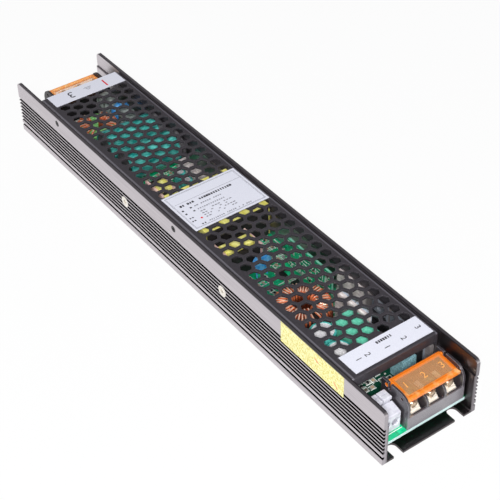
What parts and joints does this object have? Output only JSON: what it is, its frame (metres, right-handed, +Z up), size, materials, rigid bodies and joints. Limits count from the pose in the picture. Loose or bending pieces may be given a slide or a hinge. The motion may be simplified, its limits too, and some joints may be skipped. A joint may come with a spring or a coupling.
{
  "type": "slim switching power supply",
  "caption": "Long slim mains power supply: grooved channel housing with a honeycomb cover over the board, and screw terminals under flip lids at both ends",
  "frame": {"origin": "middle of the underside of the housing", "axes": "+X along the case towards the output terminals, +Y across, +Z up out of the base"},
  "size_m": [0.313, 0.0531, 0.031],
  "materials": {
    "black_anodised": "black anodised, satin, drawn along its length",
    "black_sheet": "black sheet metal, semi-gloss",
    "bright_screw": "zinc-plated steel",
    "dark_screw": "blackened steel",
    "green_board": "green solder mask on glass laminate",
    "brass_plain": "plain brass",
    "clear_film": "milky insulating film",
    "black_moulding": "black moulded plastic, semi-gloss",
    "orange_lid": "tinted clear orange plastic",
    "plated_copper": "tin-plated",
    "white_plastic": "white moulded plastic",
    "glass_tube": "ceramic tube with plated caps",
    "blue_dip": "blue dipped coating",
    "grey_box": "grey moulded box",
    "green_core": "green coated ferrite",
    "dark_core": "dark ferrite",
    "copper_wire": "enamelled copper",
    "teal_sleeve": "teal shrink sleeve",
    "can_aluminium": "drawn aluminium",
    "bare_aluminium": "bare extruded aluminium",
    "grey_pad": "grey thermal pad",
    "peach_former": "pale moulded coil former",
    "yellow_tape": "yellow polyester tape",
    "jade_box": "jade green moulded box",
    "cyan_box": "light cyan moulded box",
    "label_film": "pale label film",
    "sticker_paper": "pale yellow sticker"
  },
  "bodies": {
    "chassis": {"housing": "black_anodised", "perforated_cover": "black_sheet", "cover_screws": "dark_screw", "wall_screws": "bright_screw", "wall_screw_nuts": "bright_screw", "wall_transistors": "black_moulding", "wall_transistor_pads": "grey_pad", "main_board": "green_board", "board_standoffs": "brass_plain", "board_screws": "bright_screw", "insulation_sheet": "clear_film", "output_terminal_body": "black_moulding", "output_terminal_contacts": "plated_copper", "output_terminal_clamps": "plated_copper", "output_terminal_screws": "bright_screw", "input_terminal_body": "black_moulding", "input_terminal_contacts": "plated_copper", "input_terminal_clamps": "plated_copper", "input_terminal_screws": "bright_screw", "signal_terminal_body": "white_plastic", "input_fuse": "glass_tube", "surge_varistor": "blue_dip", "line_capacitors": "grey_box", "line_choke_core": "green_core", "line_choke_windings": "copper_wire", "bridge_rectifier": "black_moulding", "bulk_capacitor_cans": "can_aluminium", "bulk_capacitor_sleeves": "teal_sleeve", "finned_heat_sink": "bare_aluminium", "driver_capacitor_cans": "can_aluminium", "driver_capacitor_sleeves": "teal_sleeve", "driver_transformer_former": "peach_former", "driver_transformer_coil": "yellow_tape", "driver_transformer_core": "dark_core", "main_transformer_core": "dark_core", "main_transformer_coil": "yellow_tape", "main_transformer_tape": "yellow_tape", "second_transformer_former": "peach_former", "second_transformer_coil": "yellow_tape", "second_transformer_core": "dark_core", "safety_capacitor": "blue_dip", "control_board": "green_board", "control_chips": "black_moulding", "storage_choke_core": "dark_core", "storage_choke_winding": "copper_wire", "heat_spreader": "bare_aluminium", "wall_heat_bar": "bare_aluminium", "output_devices": "black_moulding", "output_device_tabs": "bright_screw", "film_capacitor": "jade_box", "filter_capacitor": "cyan_box", "output_capacitor_cans": "can_aluminium", "output_capacitor_sleeves": "teal_sleeve", "cover_labels": "label_film", "side_sticker": "sticker_paper"},
    "output_lid": {"output_terminal_lid": "orange_lid"},
    "input_lid": {"input_terminal_lid": "orange_lid"},
    "lever_left": {"signal_lever_left": "white_plastic"},
    "lever_right": {"signal_lever_right": "white_plastic"}
  },
  "joints": [
    {"name": "output_lid_hinge", "type": "hinge", "parent": "chassis", "child": "output_lid", "pos_m": [0.1377, 0.0068, 0.0226], "axis": [0, -1, 0], "range_deg": [0, 95]},
    {"name": "input_lid_hinge", "type": "hinge", "parent": "chassis", "child": "input_lid", "pos_m": [-0.1377, 0.003, 0.0226], "axis": [0, 1, 0], "range_deg": [0, 95]},
    {"name": "signal_lever_left_pivot", "type": "hinge", "parent": "chassis", "child": "lever_left", "pos_m": [0.1406, -0.0178, 0.0124], "axis": [0, -1, 0], "range_deg": [0, 15], "stiffness_Nm_per_rad": 0.05, "springref_deg": -5.73},
    {"name": "signal_lever_right_pivot", "type": "hinge", "parent": "chassis", "child": "lever_right", "pos_m": [0.1406, -0.0128, 0.0124], "axis": [0, -1, 0], "range_deg": [0, 15], "stiffness_Nm_per_rad": 0.05, "springref_deg": -5.73}
  ]
}
